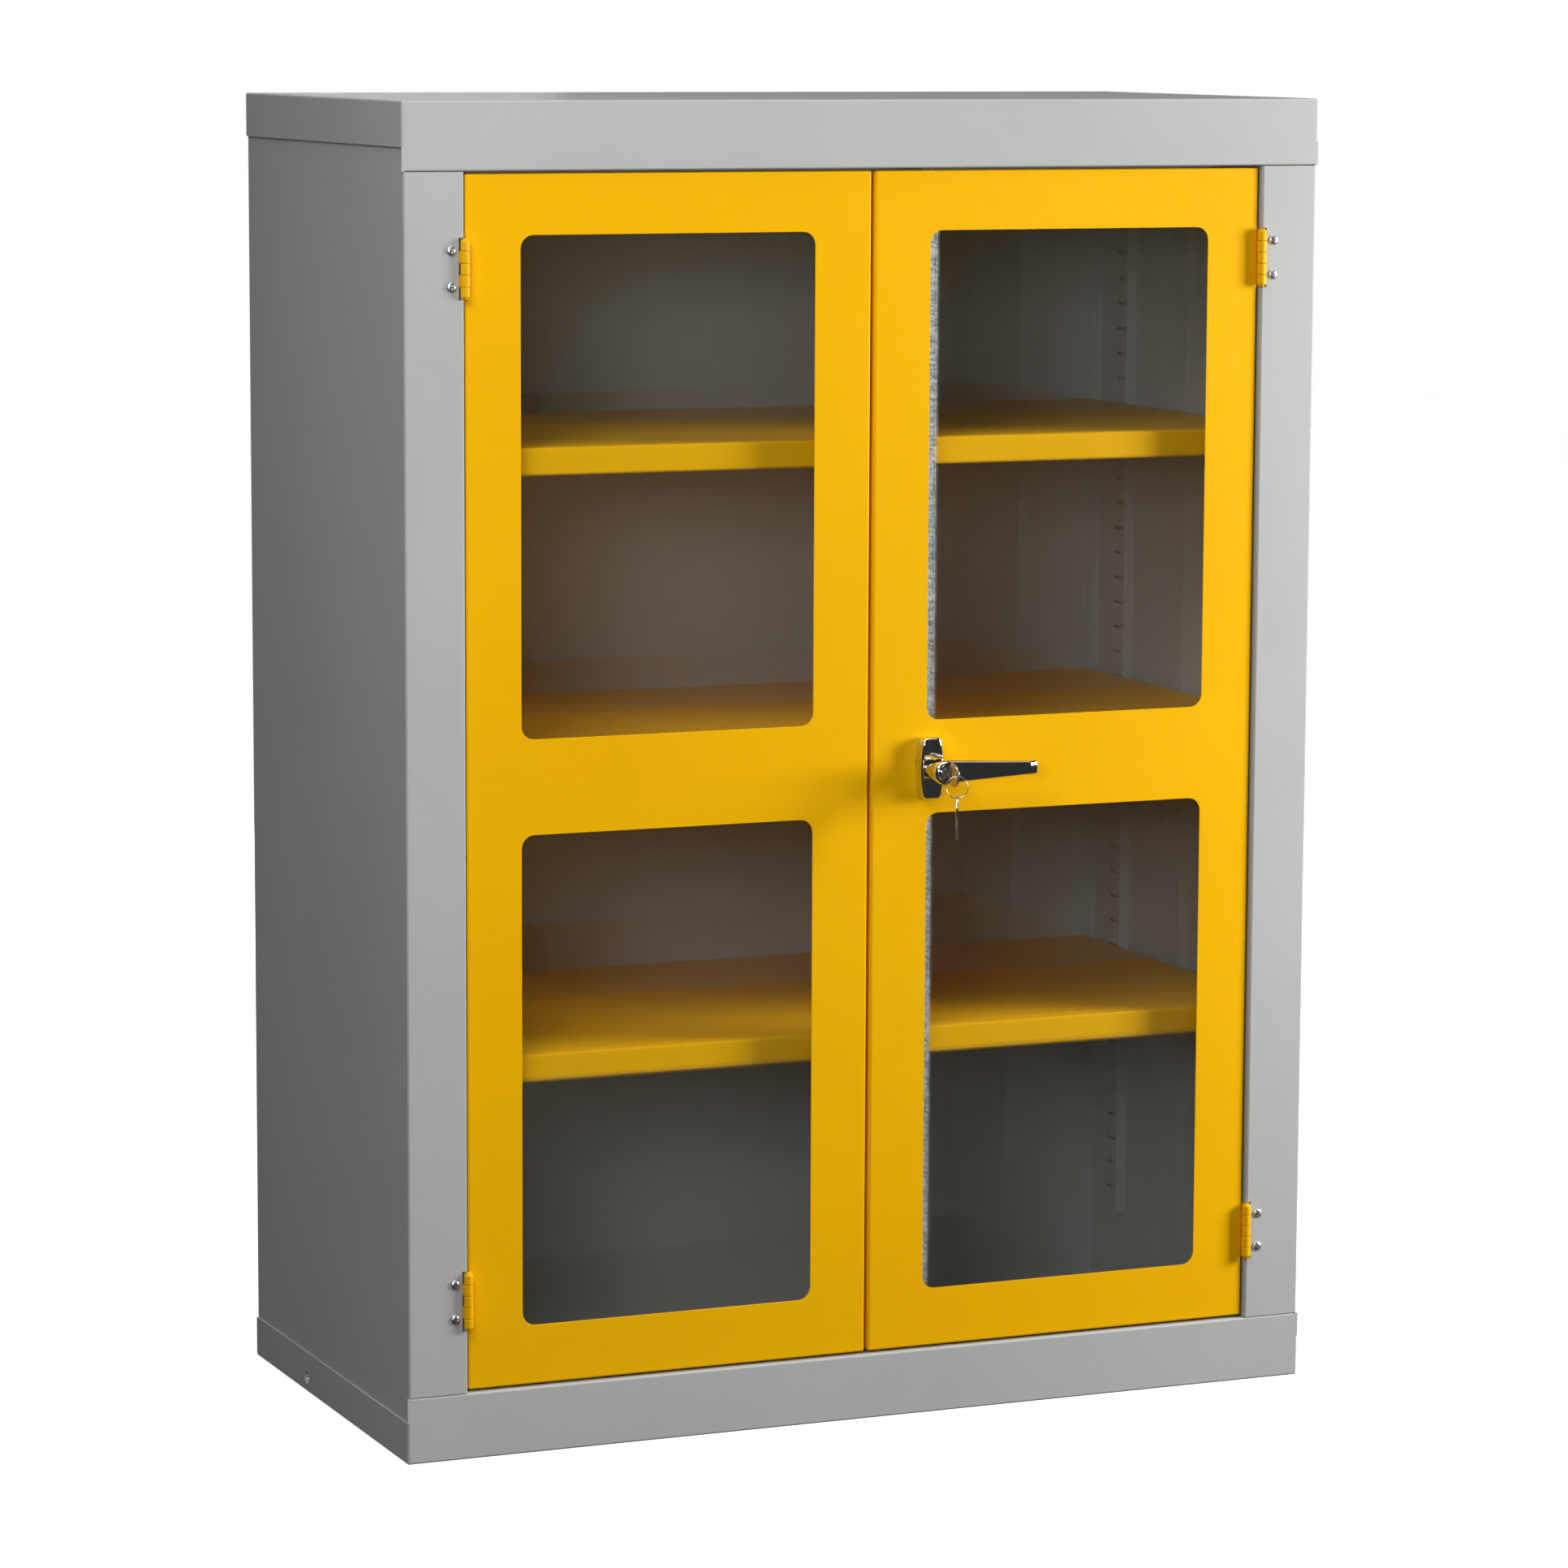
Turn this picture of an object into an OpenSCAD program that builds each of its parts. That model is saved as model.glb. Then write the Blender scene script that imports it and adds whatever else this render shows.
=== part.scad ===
// Flammable storage cabinet: a folded steel body on a sump base, two glazed doors,
// three adjustable shelves and a top-and-bottom lock worked by a lever handle.
// X runs to the right, Y to the back and Z up. The origin is on the floor, in the
// middle of the body. The right side is drawn, and the left side mirrors it.

/* [Body] */
// Width over the flanges of the cap and the base
body_w = 904; // [800:1:1100]
// Depth over the front face and the rear flanges
body_d = 450; // [430:1:600]
// Height from the floor to the top of the cap
body_h = 1220; // [1200:1:1400]
// Thickness of the folded sheet steel
sheet = 1.2; // [1:0.1:1.5]
// Height of the front face of the base
base_fascia = 60.6; // [50:0.1:80]
// Height of the front face of the cap
cap_fascia = 61.6; // [50:0.1:80]
// Width of each front upright, measured to the edge of the opening
upright_w = 57.5; // [50:0.5:80]
// Height of the side and rear flanges of the base
base_flange = 38; // [20:1:48]
// Height of the side and rear flanges of the cap
cap_flange = 40.6; // [20:0.1:48]
// Depth of the folded returns round the opening
return_d = 30; // [26:1:40]

/* [Doors] */
// Gap between a door and the frame
door_gap = 2.5; // [2:0.1:4]
// Gap between the two doors where they meet
meeting_gap = 4; // [3:0.1:6]
// How far the door face is set back from the front of the frame
door_recess = 4; // [3:0.5:5]
// Depth of the folded door
door_t = 20; // [18:1:24]
// Width of the stile beside the meeting edge
lock_stile = 55; // [50:1:70]
// Width of the stile beside the hinges
hinge_stile = 51.8; // [40:0.1:70]
// Height of the top and bottom rails
door_rail = 54.3; // [50:0.1:70]
// Height of the rail between the two windows
mid_rail = 86.6; // [84:0.1:120]
// Corner radius of the window openings
window_r = 12; // [4:1:30]
// Thickness of a window pane
pane_t = 3; // [2:0.5:4]

/* [Shelves] */
// Height of the top face of the lowest shelf
first_shelf = 361.5; // [336.5, 361.5, 386.5]
// Height from one shelf to the next
shelf_pitch = 275; // [225, 250, 275]
// Depth of the folded edges of a shelf
shelf_edge = 25; // [20:1:30]
// Distance between the slots of a shelf strip
slot_pitch = 25; // [25]
// Number of slots in a shelf strip
slot_count = 41; // [35:1:41]

/* [Lock] */
// Height of the handle spindle
lock_z = 609; // [600:1:620]
// Length of the lever from the spindle to its tip
lever_l = 97; // [70:1:120]
// Radius at which the cam pins sit
crank_r = 14; // [13:0.5:14]

/* [Hinges] */
// Distance from each end of the door to the middle of its hinge
hinge_inset = 83; // [60:1:150]
// Length of a hinge
hinge_l = 52; // [45:1:60]
// Radius of the hinge pin
pin_r = 2.5; // [2:0.1:2.6]

/* [Hidden] */
$fn = 64;
hw = body_w / 2;
hd = body_d / 2;
front = -hd;
seam = 0.6;
clear = 0.3;
eps = 1;
wall_out = hw - sheet - clear;
wall_in = wall_out - sheet;
open_x = hw - upright_w;
open_z0 = base_fascia;
open_z1 = body_h - cap_fascia;
return_y = front + return_d;
stop_lip = 12;

door_in = meeting_gap / 2;
door_out = open_x - door_gap;
door_z0 = open_z0 + door_gap;
door_z1 = open_z1 - door_gap;
door_y = front + door_recess;
door_back = door_y + door_t;
door_lip = 12;
win_x0 = door_in + lock_stile;
win_x1 = door_out - hinge_stile;
win_h = (door_z1 - door_z0 - 2 * door_rail - mid_rail) / 2;
win_low = door_z0 + door_rail;
win_high = door_z1 - door_rail - win_h;
pane_y = door_y + sheet;
pane_lap = 12;

strip_x = wall_in - 10.3;
strip_w = 50;
strip_y = 143;
strip_z0 = 85.5;
slot_z0 = strip_z0 + slot_pitch;
slot_l = 20;
slot_h = 3;
shelf_x = strip_x - 2;
shelf_y0 = return_y + 0.5;
shelf_y1 = hd - 6;
shelf_lip = 12;

axis_x = open_x - 0.5;
axis_y = front - 1.5;
knuckle_r = 4.2;
knuckle_gap = 0.3;
knuckle_pitch = (hinge_l + knuckle_gap) / 5;
leaf_t = 1.5;
screw_x = 12.5;
screw_z = 16;
hinge_z_low = door_z0 + hinge_inset;
hinge_z_high = door_z1 - hinge_inset;

lock_x = win_x0;
crank = crank_r * sin(45);
bar_w = 15;
bar_y0 = door_back - 6;
bar_y1 = door_back - 3;
upper_bar_x = 62.7;
lower_bar_x = 60.5;
bolt_x = 30;
tip_gap = 0.8;
guide_h = 14;
housing_h = 56.5;
housing_w = 24;
housing_t = 14;
hub_r = 11.4;
hub_y = door_y - 45;
neck_y = door_y - housing_t - clear;
spindle_r = 5;
cam_y = bar_y0 - 4;
cam_r = 18.5;
cam_pin_r = 2.5;
plug_r = 6;

key_t = 2;
bow_r = 10.5;
bow_y = hub_y - 15;
key_hole_y = hub_y - 22.5;
key_hole_r = 2.5;
ring_r = 10;
wire_r = 0.9;
ring_turn = -23;

earth_y = 67;
earth_z = 13.3;

GREY = [0.76, 0.78, 0.77];
YELLOW = [0.98, 0.75, 0.05];
CHROME = [0.82, 0.83, 0.85];
ZINC = [0.72, 0.74, 0.76];
GALVANISED = [0.62, 0.65, 0.67];
GLASS = [0.75, 0.85, 0.88, 0.35];
RUBBER = [0.12, 0.12, 0.12];

// ---- shapes that repeat ----

// Two values at the same distance on either side of a middle
function span(middle, half) = [middle - half, middle + half];

// A start and the value a given length beyond it
function from(start, length) = [start, start + length];

// Box between two values on each axis
module block(x, y, z) {
    translate([x[0], y[0], z[0]]) cube([x[1] - x[0], y[1] - y[0], z[1] - z[0]]);
}

// Outline in X and Z, made solid between two values of Y
module upright_plate(y) {
    translate([0, y[1], 0]) rotate([90, 0, 0]) linear_extrude(y[1] - y[0]) children();
}

// Round bar along Y
module bar_along_y(x, z, r, y) {
    upright_plate(y) translate([x, z]) circle(r);
}

module rounded_window(z, grow) {
    w = win_x1 - win_x0 + 2 * grow;
    h = win_h + 2 * grow;
    r = window_r + grow / 2;
    translate([win_x0 - grow, z - grow]) {
        translate([r, 0]) square([w - 2 * r, h]);
        translate([0, r]) square([w, h - 2 * r]);
        for (x = [r, w - r], y = [r, h - r]) translate([x, y]) circle(r);
    }
}

module right_and_left() {
    children();
    mirror([1, 0, 0]) children();
}

// ---- body ----

// One folded sheet: side wall, front upright, return beside the door and rear return
module side_panel() {
    z = [open_z0 + seam, open_z1 - seam];
    color(GREY) difference() {
        union() {
            block([wall_in, wall_out], [front + sheet, hd - 2.7], [sheet, body_h - sheet]);
            block([open_x, wall_out], [front, front + sheet], z);
            block([open_x, open_x + sheet], [front, return_y], z);
            block([open_x, open_x + stop_lip], [return_y - sheet, return_y], z);
            block([wall_out - 15, wall_out], [hd - 2.7 - sheet, hd - 2.7],
                  [sheet, body_h - sheet]);
        }
        for (z = [hinge_z_low, hinge_z_high]) {
            block([open_x - eps, open_x + 5], [front - eps, front + 5],
                  [z - hinge_l / 2 - 1.5, z + hinge_l / 2 + 1.5]);
            for (s = [-1, 1])
                bar_along_y(axis_x + screw_x, z + s * screw_z, 2.7, [front - eps, front + 3]);
        }
    }
}

// Clearance hole for the earth insert, through whatever stands on the left side
module earth_hole() {
    translate([-hw - eps, earth_y, earth_z]) rotate([0, 90, 0]) cylinder(h = 6, r = 6);
}

module left_side_panel() {
    color(GREY) difference() {
        mirror([1, 0, 0]) side_panel();
        earth_hole();
    }
}

module back_panel() {
    color(GREY) block([-wall_out + clear, wall_out - clear], [hd - 2.7, hd - 1.5],
                      [sheet + clear, body_h - sheet - clear]);
}

// Slots in the returns of the cap and the base, for the rods and the bolts
module rod_slots(z, bar_x) {
    w = bar_w + 3;
    block([bar_x - w / 2, bar_x + w / 2], [bar_y0 - 2, bar_y1 + 2], z);
    block([-bolt_x - w / 2, -bolt_x + w / 2], [bar_y0 - 2, bar_y1 + 2], z);
}

module top_cap() {
    color(GREY) difference() {
        union() {
            block([-hw, hw], [front, hd], [body_h - sheet, body_h]);
            right_and_left() block([hw - sheet, hw], [front, hd], [body_h - cap_flange, body_h]);
            block([-hw, hw], [hd - sheet, hd], [body_h - cap_flange, body_h]);
            block([-hw, hw], [front, front + sheet], [open_z1, body_h]);
            block([-wall_in + clear, wall_in - clear], [front, return_y],
                  [open_z1, open_z1 + sheet]);
            block([-open_x + 0.5, open_x - 0.5], [return_y - sheet, return_y],
                  [open_z1 - stop_lip, open_z1 + sheet]);
        }
        rod_slots([open_z1 - eps, open_z1 + sheet + eps], upper_bar_x);
    }
}

module base_tray() {
    color(GREY) difference() {
        union() {
            block([-hw, hw], [front, hd], [0, sheet]);
            right_and_left() block([hw - sheet, hw], [front, hd], [0, base_flange]);
            block([-hw, hw], [hd - sheet, hd], [0, base_flange]);
            block([-hw, hw], [front, front + sheet], [0, open_z0]);
            block([-wall_in + clear, wall_in - clear], [front, return_y],
                  [open_z0 - sheet, open_z0]);
            block([-open_x + 0.5, open_x - 0.5], [return_y - sheet, return_y],
                  [open_z0 - sheet, open_z0 + stop_lip]);
        }
        rod_slots([open_z0 - sheet - eps, open_z0 + eps], lower_bar_x);
        earth_hole();
    }
}

// Threaded insert for the earth lead, set through the base and the left wall
module earth_insert() {
    color(ZINC) translate([-wall_out, earth_y, earth_z]) rotate([0, 90, 0]) difference() {
        union() {
            translate([0, 0, -0.1]) cylinder(h = 12, r = 5.8);
            translate([0, 0, sheet]) cylinder(h = 1.5, r = 8.5);
        }
        translate([0, 0, -eps]) cylinder(h = 14, r = 3.4);
    }
}

// Rubber stops on the lips that the doors close against
module door_bumpers() {
    color(RUBBER) right_and_left()
        for (x = [110, 340], z = [open_z0 + 8, open_z1 - 8])
            bar_along_y(x, z, 3.5, [door_back + clear, return_y - sheet]);
}

// ---- shelves ----

// Slotted channel that stands off the right wall, behind the middle of the body
module shelf_strip() {
    y = [strip_y, strip_y + strip_w];
    z = [strip_z0, strip_z0 + (slot_count + 1) * slot_pitch];
    color(GREY) difference() {
        union() {
            block([strip_x, strip_x + sheet], y, z);
            block([strip_x, wall_in], [y[0], y[0] + sheet], z);
            block([strip_x, wall_in], [y[1] - sheet, y[1]], z);
        }
        for (i = [0:slot_count - 1])
            block([strip_x - eps, strip_x + sheet + eps], [y[0] + 3, y[0] + 3 + slot_l],
                  span(slot_z0 + i * slot_pitch, slot_h / 2));
    }
}

function shelf_z(i) = first_shelf + i * shelf_pitch;

// Tray with turned-down edges and folded returns
module shelf(i) {
    z = shelf_z(i);
    color(YELLOW) difference() {
        block([-shelf_x, shelf_x], [shelf_y0, shelf_y1], [z - shelf_edge, z]);
        block([-shelf_x + sheet, shelf_x - sheet], [shelf_y0 + sheet, shelf_y1 - sheet],
              [z - shelf_edge + sheet, z - sheet]);
        block([-shelf_x + shelf_lip, shelf_x - shelf_lip],
              [shelf_y0 + shelf_lip, shelf_y1 - shelf_lip], [z - shelf_edge - eps, z - sheet]);
    }
}

// Four hooked tabs that stand in the slots and carry one shelf
module shelf_clips(i) {
    z = shelf_z(i) - shelf_edge;
    hook = strip_x + sheet + 0.5;
    color(ZINC) right_and_left() for (back = [0, 1]) mirror([0, 1 - back, 0]) {
        y = [strip_y + 3.5, strip_y + 2.5 + slot_l];
        block([shelf_x - shelf_lip, hook + 1.5], y, [z - 1.5, z]);
        block([hook, hook + 1.5], y, [z - 1.5, z + 8]);
    }
}

// ---- hinges ----

// Places a hinge piece on one of the four hinge axes
module at_hinge(z) {
    translate([axis_x, axis_y, z]) children();
}

module knuckles(which) {
    for (k = which)
        translate([0, 0, k * knuckle_pitch - hinge_l / 2])
            cylinder(h = knuckle_pitch - knuckle_gap, r = knuckle_r);
}

module fingers(which, x, y) {
    for (k = which)
        block(x, y, from(k * knuckle_pitch - hinge_l / 2, knuckle_pitch - knuckle_gap));
}

module hinge_frame_leaf() {
    plate = [knuckle_r - leaf_t, knuckle_r];
    color(YELLOW) difference() {
        union() {
            knuckles([1, 3]);
            fingers([1, 3], [1, 5], plate);
            block([4.9, 24], plate, [-hinge_l / 2, hinge_l / 2]);
        }
        translate([0, 0, -hinge_l]) cylinder(h = 2 * hinge_l, r = pin_r + 0.02);
        for (s = [-1, 1]) bar_along_y(screw_x, s * screw_z, 2.7, [plate[0] - eps, plate[1] + eps]);
    }
}

module hinge_door_leaf() {
    x = [-door_gap + 0.5, -door_gap + 0.5 + leaf_t];
    color(YELLOW) difference() {
        union() {
            knuckles([0, 2, 4]);
            fingers([0, 2, 4], x, [pin_r, 5]);
            block(x, [4.6, door_t + 3.5], [-hinge_l / 2, hinge_l / 2]);
        }
        translate([0, 0, -hinge_l]) cylinder(h = 2 * hinge_l, r = pin_r + 0.05);
    }
}

module hinge_pin() {
    color(YELLOW) {
        translate([0, 0, -hinge_l / 2 - 1]) cylinder(h = hinge_l + 2, r = pin_r);
        for (s = [0, 1]) mirror([0, 0, s])
            translate([0, 0, hinge_l / 2 + 0.2]) cylinder(h = 0.8, r = pin_r + 0.8);
    }
}

module hinge_fixings() {
    right_and_left() for (z = [hinge_z_low, hinge_z_high], s = [-1, 1])
        translate([axis_x + screw_x, 0, z + s * screw_z]) children();
}

// Pan-head machine screws with a crossed recess
module hinge_screws() {
    color(ZINC) hinge_fixings() difference() {
        union() {
            bar_along_y(0, 0, 4.5, [front - 1.6, front]);
            bar_along_y(0, 0, 3.4, [front - 2.4, front]);
            bar_along_y(0, 0, 2.4, [front, front + 9]);
        }
        for (w = [[5, 1], [1, 5]])
            upright_plate([front - 3, front - 1.2]) square(w, center = true);
    }
}

module hinge_nuts() {
    y = axis_y + knuckle_r;
    color(ZINC) hinge_fixings() difference() {
        upright_plate([y, y + 4]) circle(r = 4.6, $fn = 6);
        bar_along_y(0, 0, 2.5, [y - eps, y + 5]);
    }
}

// ---- doors ----

// Right door sheet: face, four edges and the lips behind them, with two windows
module door_panel() {
    difference() {
        block([door_in, door_out], [door_y, door_back], [door_z0, door_z1]);
        block([door_in + sheet, door_out - sheet], [door_y + sheet, door_back - sheet],
              [door_z0 + sheet, door_z1 - sheet]);
        block([door_in + door_lip, door_out - door_lip], [door_y + sheet, door_back + eps],
              [door_z0 + door_lip, door_z1 - door_lip]);
        for (z = [win_low, win_high])
            upright_plate([door_y - eps, door_y + sheet + eps]) rounded_window(z, 0);
    }
}

// Notch through an end edge of a door, for a rod or a bolt
module edge_notch(x, z) {
    block([x - bar_w / 2 - 1, x + bar_w / 2 + 1], [bar_y0 - 1, bar_y1 + 0.6],
          [z - 2, z + 2]);
}

module right_door_panel() {
    color(YELLOW) difference() {
        door_panel();
        edge_notch(upper_bar_x, door_z1);
        edge_notch(lower_bar_x, door_z0);
        bar_along_y(lock_x, lock_z, 6, [door_y - eps, door_y + 2]);
        for (s = [-1, 1])
            bar_along_y(lock_x, lock_z + s * 20, 2.3, [door_y - eps, door_y + 2]);
    }
}

module left_door_panel() {
    color(YELLOW) mirror([1, 0, 0]) difference() {
        door_panel();
        edge_notch(bolt_x, door_z1);
        edge_notch(bolt_x, door_z0);
    }
}

module window_pane(z) {
    color(GLASS) upright_plate([pane_y, pane_y + pane_t]) rounded_window(z, pane_lap);
}

// Galvanised frames that hold the panes against the back of the door face
module window_retainers() {
    y = pane_y + pane_t;
    color(GALVANISED) for (z = [win_low, win_high]) difference() {
        upright_plate([y, y + sheet]) rounded_window(z, pane_lap + 3);
        upright_plate([y - eps, y + sheet + eps]) rounded_window(z, 3);
    }
}

// Strap that holds a flat bar behind the door face and lets it slide
module bar_guide(x, z) {
    inside = bar_w / 2 + clear;
    outside = inside + sheet;
    for (s = [0, 1]) translate([x, 0, 0]) mirror([s, 0, 0]) {
        block([inside, outside], [pane_y, bar_y1 + clear + sheet], [z, z + guide_h]);
        block([inside, outside + 5], [pane_y, pane_y + sheet], [z, z + guide_h]);
    }
    block([x - outside, x + outside], from(bar_y1 + clear, sheet), [z, z + guide_h]);
}

module rod_guides() {
    color(GALVANISED) {
        bar_guide(upper_bar_x, door_z1 - 34);
        bar_guide(lower_bar_x, door_z0 + 20);
    }
}

module left_bolt_guides() {
    color(GALVANISED) for (z = [14, 38]) {
        bar_guide(-bolt_x, door_z1 - z - guide_h);
        bar_guide(-bolt_x, door_z0 + z);
    }
}

// Sliding bolt at the end of the left door, with a finger knob
module end_bolt() {
    color(GALVANISED) {
        block([-bolt_x - bar_w / 2, -bolt_x + bar_w / 2], [bar_y0, bar_y1], [0, 88]);
        bar_along_y(-bolt_x, 8, 3, [bar_y1 - eps, bar_y1 + 4]);
        bar_along_y(-bolt_x, 8, 6, [bar_y1 + 4, bar_y1 + 9]);
    }
}

module left_upper_bolt() {
    translate([0, 0, door_z1 - 91]) end_bolt();
}

module left_lower_bolt() {
    translate([0, 0, door_z0 + 91]) mirror([0, 0, 1]) end_bolt();
}

// ---- lock ----

module lock_housing() {
    bulge = 116;
    color(CHROME) difference() {
        upright_plate([door_y - housing_t, door_y]) translate([lock_x, lock_z + 0.5])
            intersection() {
                square([housing_w, housing_h], center = true);
                translate([bulge - housing_w / 2, 0]) circle(r = bulge, $fn = 180);
                translate([housing_w / 2 - bulge, 0]) circle(r = bulge, $fn = 180);
            }
        bar_along_y(lock_x, lock_z, spindle_r + 0.05, [door_y - 20, door_y + eps]);
        for (s = [-1, 1])
            bar_along_y(lock_x, lock_z + s * 20, 2.1, [door_y - 9, door_y + eps]);
    }
}

module lock_backing_plate() {
    color(ZINC) difference() {
        block([lock_x - 12, lock_x + 12], [pane_y, pane_y + 2], [lock_z - 24, lock_z + 24]);
        bar_along_y(lock_x, lock_z, 5.5, [pane_y - eps, pane_y + 3]);
        for (s = [-1, 1])
            bar_along_y(lock_x, lock_z + s * 20, 2.3, [pane_y - eps, pane_y + 3]);
    }
}

module lock_fixing_screws() {
    color(ZINC) for (s = [-1, 1]) {
        bar_along_y(lock_x, lock_z + s * 20, 2, [door_y - 8, pane_y + 2]);
        bar_along_y(lock_x, lock_z + s * 20, 3.6, [pane_y + 2, pane_y + 4.4]);
    }
}

module lever_handle() {
    tip_r = 6;
    color(CHROME) difference() {
        union() {
            bar_along_y(lock_x, lock_z, 8.5, [hub_y + 19, neck_y]);
            bar_along_y(lock_x, lock_z, hub_r, [hub_y, hub_y + 20]);
            upright_plate([hub_y + 5, hub_y + 17]) translate([lock_x, lock_z]) {
                polygon([[0, hub_r], [lever_l - tip_r, tip_r],
                         [lever_l - tip_r, -tip_r], [0, -hub_r]]);
                translate([lever_l - tip_r, 0]) circle(tip_r);
            }
        }
        bar_along_y(lock_x, lock_z, plug_r + 0.05, [hub_y - eps, hub_y + 15]);
        bar_along_y(lock_x, lock_z, spindle_r + 0.02, [hub_y + 22, neck_y + eps]);
    }
}

// Round shaft with a square end for the cam
module handle_spindle() {
    color(ZINC) difference() {
        union() {
            bar_along_y(lock_x, lock_z, spindle_r, [hub_y + 22, cam_y - 1]);
            upright_plate([cam_y - 2, cam_y + 3]) translate([lock_x, lock_z])
                square(8, center = true);
        }
        bar_along_y(lock_x, lock_z, 2.05, [cam_y - 8, cam_y + 4]);
    }
}

// Disc with two pins: one lifts the upper rod while the other lowers the lower rod
module lock_cam() {
    color(ZINC) difference() {
        union() {
            bar_along_y(lock_x, lock_z, cam_r, [cam_y, cam_y + 3]);
            for (s = [-1, 1])
                bar_along_y(lock_x + s * crank, lock_z + s * crank, cam_pin_r,
                            [cam_y, cam_y + 8.5]);
        }
        upright_plate([cam_y - eps, cam_y + 4]) translate([lock_x, lock_z])
            square(8.2, center = true);
    }
}

module cam_screw() {
    color(ZINC) {
        bar_along_y(lock_x, lock_z, 5.5, [cam_y + 3, cam_y + 3.8]);
        bar_along_y(lock_x, lock_z, 3.6, [cam_y + 3, cam_y + 6.5]);
        bar_along_y(lock_x, lock_z, 2, [cam_y - 7, cam_y + 3.5]);
    }
}

// Slot in a rod's plate that a cam pin moves along
module pin_slot(x, z, turn) {
    throw = crank_r - crank;
    block([x - cam_pin_r - 0.5 - (turn < 0 ? throw : 0),
           x + cam_pin_r + 0.5 + (turn > 0 ? throw : 0)],
          [bar_y0 - eps, bar_y1 + eps], span(z, cam_pin_r + 0.7));
}

module upper_lock_rod() {
    pin_x = lock_x - crank;
    pin_z = lock_z - crank;
    foot = [lock_x - 20.5, lock_x - 4.8];
    y = [bar_y0, bar_y1];
    color(GALVANISED) difference() {
        union() {
            block([upper_bar_x - bar_w / 2, upper_bar_x + bar_w / 2], y,
                  [lock_z + 23, open_z1 - tip_gap]);
            block([foot[0], upper_bar_x], y, [lock_z + 23, lock_z + 35]);
            block(foot, y, [lock_z - 18, lock_z + 35]);
        }
        pin_slot(pin_x, pin_z, -1);
    }
}

module lower_lock_rod() {
    pin_x = lock_x + crank;
    pin_z = lock_z + crank;
    head = [lock_x + 4.8, lock_x + 20.5];
    y = [bar_y0, bar_y1];
    color(GALVANISED) difference() {
        union() {
            block([lower_bar_x - bar_w / 2, lower_bar_x + bar_w / 2], y,
                  [open_z0 + tip_gap, lock_z - 11]);
            block(head, y, [lock_z - 17, lock_z + 18]);
        }
        pin_slot(pin_x, pin_z, 1);
    }
}

// ---- keys ----

module lock_plug() {
    color(CHROME) difference() {
        bar_along_y(lock_x, lock_z, plug_r, [hub_y - 0.8, hub_y + 14.8]);
        block([lock_x - 1.2, lock_x + 1.2], [hub_y - 2, hub_y + 12], span(lock_z, 3.6));
    }
}

// Key in the plane X = 0, with its bow at the origin and its blade along +Y
module key_shape(blade) {
    translate([-key_t / 2, 0, 0]) rotate([90, 0, 90]) linear_extrude(key_t) difference() {
        union() {
            circle(bow_r);
            translate([0, -3.2]) square([blade, 6.4]);
        }
        translate([-(bow_y - key_hole_y), 0]) circle(key_hole_r);
        for (i = [0:2]) translate([blade - 3 - 3 * i, 3.4]) circle(r = 1.1, $fn = 24);
    }
}

module key() {
    color(ZINC) translate([lock_x, bow_y, lock_z]) key_shape(26);
}

// Turns a hanging piece to the way that the ring faces, about the hole of the key
module at_ring() {
    translate([lock_x, key_hole_y, lock_z]) rotate([0, 0, ring_turn]) children();
}

module key_ring() {
    color(ZINC) at_ring() translate([0, 0, -ring_r]) rotate([90, 0, 0])
        rotate_extrude() translate([ring_r, 0]) circle(r = wire_r, $fn = 24);
}

module spare_key() {
    drop = 2 * ring_r + 1.2 + bow_y - key_hole_y;
    color(ZINC) at_ring() translate([0, 0, -drop]) rotate([-90, 0, 0]) key_shape(29);
}

left_side_panel();
side_panel();  // right_side_panel
back_panel();
top_cap();
base_tray();
mirror([1, 0, 0]) mirror([0, 1, 0]) shelf_strip();  // shelf_strip_front_left
mirror([0, 1, 0]) shelf_strip();  // shelf_strip_front_right
mirror([1, 0, 0]) shelf_strip();  // shelf_strip_rear_left
shelf_strip();  // shelf_strip_rear_right
shelf(0);  // lower_shelf
shelf(1);  // middle_shelf
shelf(2);  // upper_shelf
shelf_clips(0);  // lower_shelf_clips
shelf_clips(1);  // middle_shelf_clips
shelf_clips(2);  // upper_shelf_clips
mirror([1, 0, 0]) at_hinge(hinge_z_low) hinge_frame_leaf();  // hinge_frame_leaf_left_lower
mirror([1, 0, 0]) at_hinge(hinge_z_high) hinge_frame_leaf();  // hinge_frame_leaf_left_upper
at_hinge(hinge_z_low) hinge_frame_leaf();  // hinge_frame_leaf_right_lower
at_hinge(hinge_z_high) hinge_frame_leaf();  // hinge_frame_leaf_right_upper
mirror([1, 0, 0]) at_hinge(hinge_z_low) hinge_pin();  // hinge_pin_left_lower
mirror([1, 0, 0]) at_hinge(hinge_z_high) hinge_pin();  // hinge_pin_left_upper
at_hinge(hinge_z_low) hinge_pin();  // hinge_pin_right_lower
at_hinge(hinge_z_high) hinge_pin();  // hinge_pin_right_upper
hinge_screws();
hinge_nuts();
door_bumpers();
earth_insert();
left_door_panel();
mirror([1, 0, 0]) window_pane(win_low);  // left_door_window_lower
mirror([1, 0, 0]) window_pane(win_high);  // left_door_window_upper
mirror([1, 0, 0]) window_retainers();  // left_window_retainers
mirror([1, 0, 0]) at_hinge(hinge_z_low) hinge_door_leaf();  // hinge_door_leaf_left_lower
mirror([1, 0, 0]) at_hinge(hinge_z_high) hinge_door_leaf();  // hinge_door_leaf_left_upper
left_bolt_guides();
left_upper_bolt();
left_lower_bolt();
right_door_panel();
window_pane(win_low);  // right_door_window_lower
window_pane(win_high);  // right_door_window_upper
window_retainers();  // right_window_retainers
at_hinge(hinge_z_low) hinge_door_leaf();  // hinge_door_leaf_right_lower
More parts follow.
